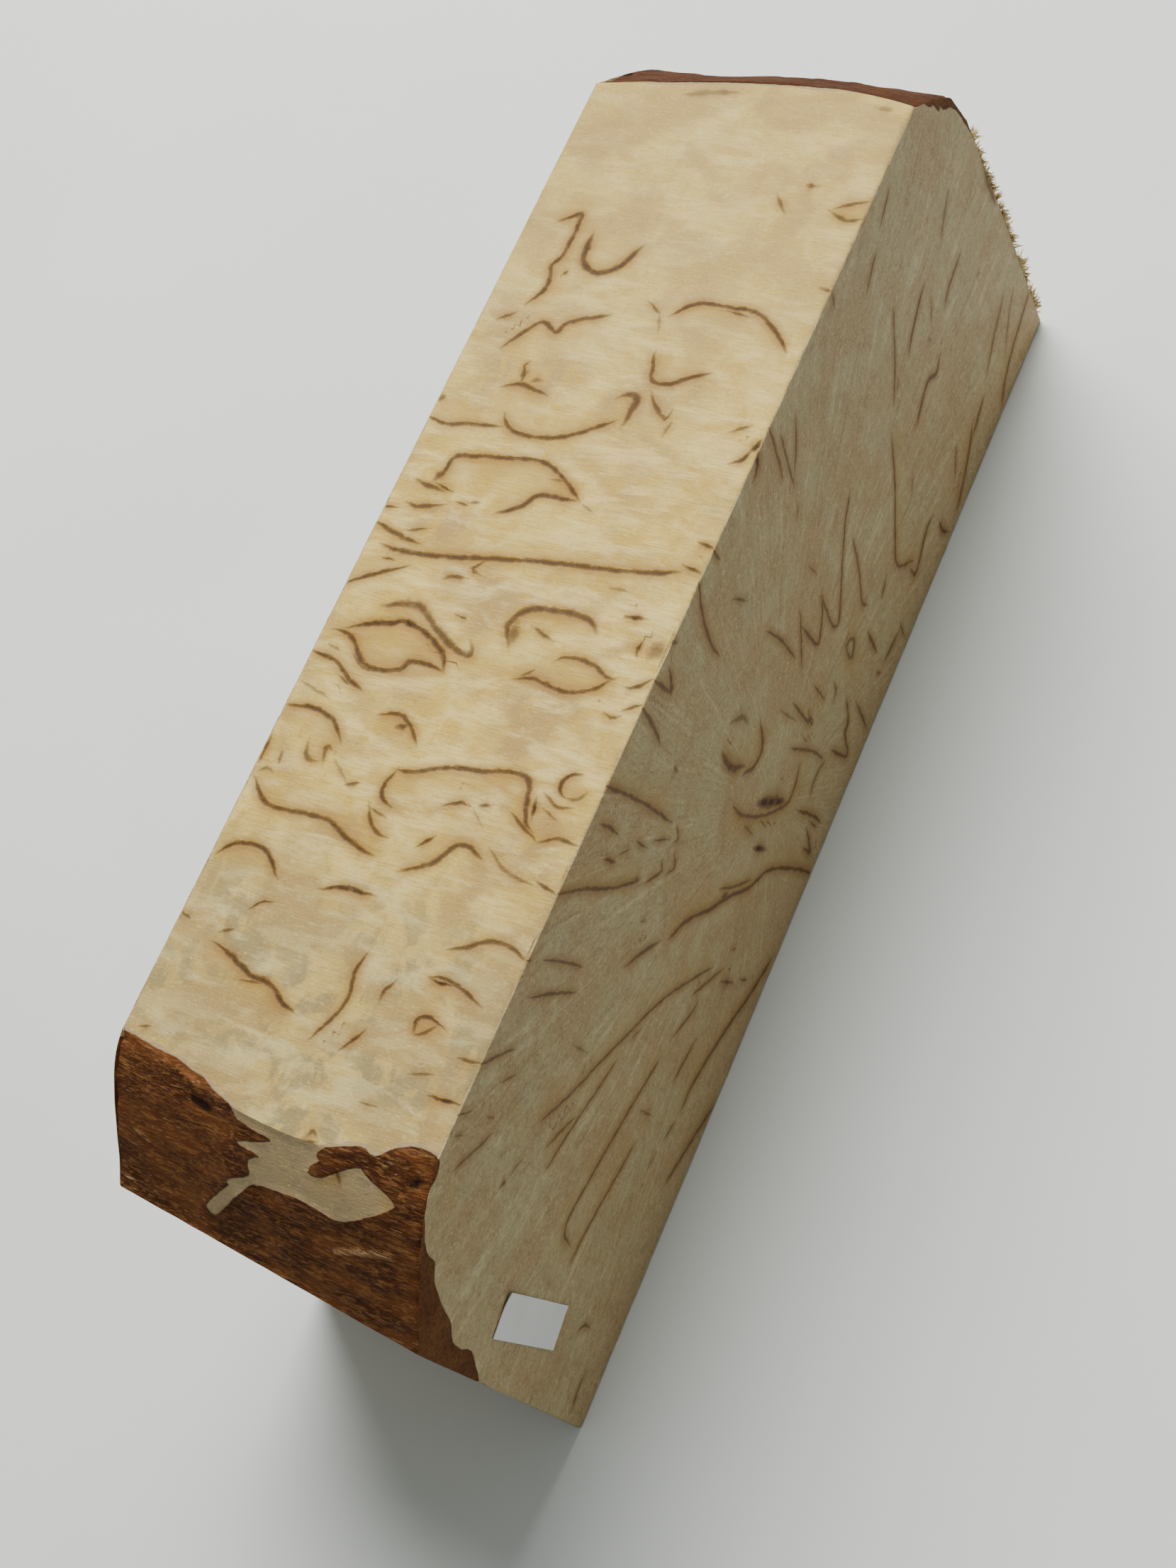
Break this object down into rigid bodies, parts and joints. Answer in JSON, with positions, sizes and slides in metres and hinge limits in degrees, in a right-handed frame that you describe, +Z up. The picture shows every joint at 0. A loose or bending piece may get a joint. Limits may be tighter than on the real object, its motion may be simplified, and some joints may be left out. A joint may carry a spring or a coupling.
{
  "type": "masur birch block",
  "caption": "Rough-sawn block of masur birch cut across a small log, with bark on two corners and a small blank paper sticker.",
  "frame": {"origin": "centre of the object's box, on the sawn base that it rests on", "axes": "+X along the block, away from the end with the broad bark-covered wane; the end-grain face looks to -Y; +Z up"},
  "size_m": [0.1884, 0.0466, 0.072],
  "materials": {
    "birch_wood": "dry sawn, matt",
    "white_paper": "uncoated paper, matt"
  },
  "bodies": {
    "root": {"birch_block": "birch_wood", "paper_sticker": "white_paper"}
  },
  "joints": []
}
